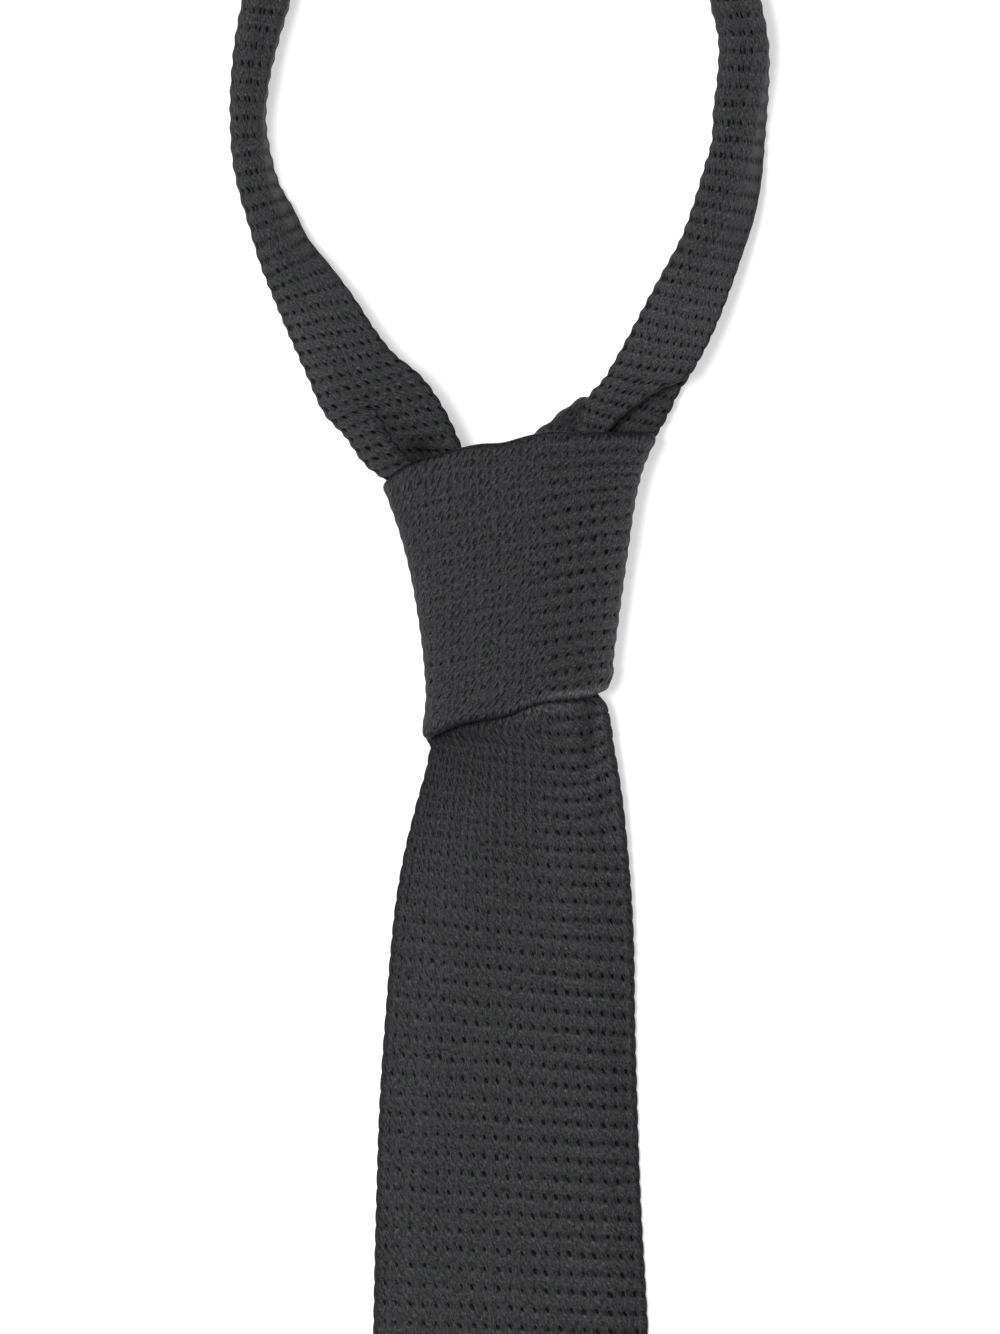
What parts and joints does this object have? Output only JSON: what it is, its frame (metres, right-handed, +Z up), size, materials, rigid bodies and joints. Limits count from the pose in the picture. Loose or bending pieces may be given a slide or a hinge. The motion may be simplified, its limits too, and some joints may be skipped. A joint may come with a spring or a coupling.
{
  "type": "knitted silk necktie",
  "caption": "Charcoal knitted silk necktie with a square end, tied in a four-in-hand knot, its neck loop closed, lying flat.",
  "frame": {"origin": "middle of the knot's flat back, where it rests on the surface", "axes": "+X across the tie, +Y from the knot up to the nape, +Z up from the surface, out of the tie's front"},
  "size_m": [0.1073, 0.6644, 0.02],
  "materials": {
    "knit": "soft matt knitted silk with a faint sheen"
  },
  "bodies": {
    "root": {"knot_wrap": "knit", "knot_throat": "knit", "neck_band": "knit", "front_blade": "knit", "tail_blade": "knit"}
  },
  "joints": []
}
